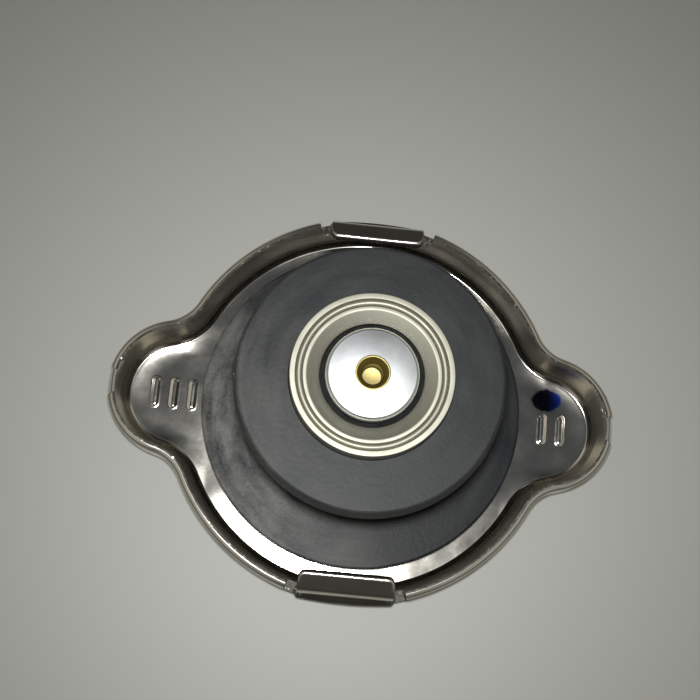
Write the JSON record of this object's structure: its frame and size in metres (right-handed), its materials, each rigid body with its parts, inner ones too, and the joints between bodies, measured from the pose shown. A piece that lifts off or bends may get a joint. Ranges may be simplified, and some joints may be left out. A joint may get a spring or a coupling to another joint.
{
  "type": "radiator cap",
  "caption": "Pressed-steel radiator cap with finger ears, bayonet lugs, a flat neck seal and a sprung pressure valve that holds a smaller vacuum valve at its centre.",
  "frame": {"origin": "middle of the lid's outer face, which lies on the table", "axes": "+Z along the cap's axis from the lid to the valves, +X along the two ears, +Y through a bayonet lug"},
  "size_m": [0.0748, 0.0576, 0.0312],
  "materials": {
    "plated_steel": "bright plated pressed sheet",
    "rivet_steel": "plain satin",
    "spring_steel": "drawn wire and spring strip",
    "seal_rubber": "matt moulded, dusty",
    "stainless_steel": "satin pressed sheet",
    "cup_steel": "tumbled satin",
    "stem_brass": "turned, dull"
  },
  "bodies": {
    "lid": {"cap_shell": "plated_steel"},
    "carrier": {"centre_rivet": "rivet_steel", "spring_disc": "spring_steel", "upper_seal": "seal_rubber", "spring_bell": "stainless_steel", "pressure_spring": "spring_steel"},
    "pressure_valve": {"pressure_plate": "stainless_steel", "pressure_seal": "seal_rubber", "seal_retainer": "stainless_steel", "vacuum_spring": "spring_steel"},
    "vacuum_valve": {"vacuum_cup": "cup_steel", "vacuum_stem": "stem_brass", "spring_washer": "rivet_steel"}
  },
  "joints": [
    {"name": "lid_swivel", "type": "hinge", "parent": "lid", "child": "carrier", "pos_m": [0, 0, 0], "axis": [0, 0, 1], "continuous": true},
    {"name": "pressure_lift", "type": "slide", "parent": "carrier", "child": "pressure_valve", "axis": [0, 0, -1], "range_m": [0, 0.0035], "stiffness_N_per_m": 3000, "springref_m": -0.0005, "deforming": ["pressure_spring"]},
    {"name": "vacuum_open", "type": "slide", "parent": "pressure_valve", "child": "vacuum_valve", "axis": [0, 0, 1], "range_m": [0, 0.0018], "stiffness_N_per_m": 200, "springref_m": -0.0005, "deforming": ["vacuum_spring"]}
  ]
}
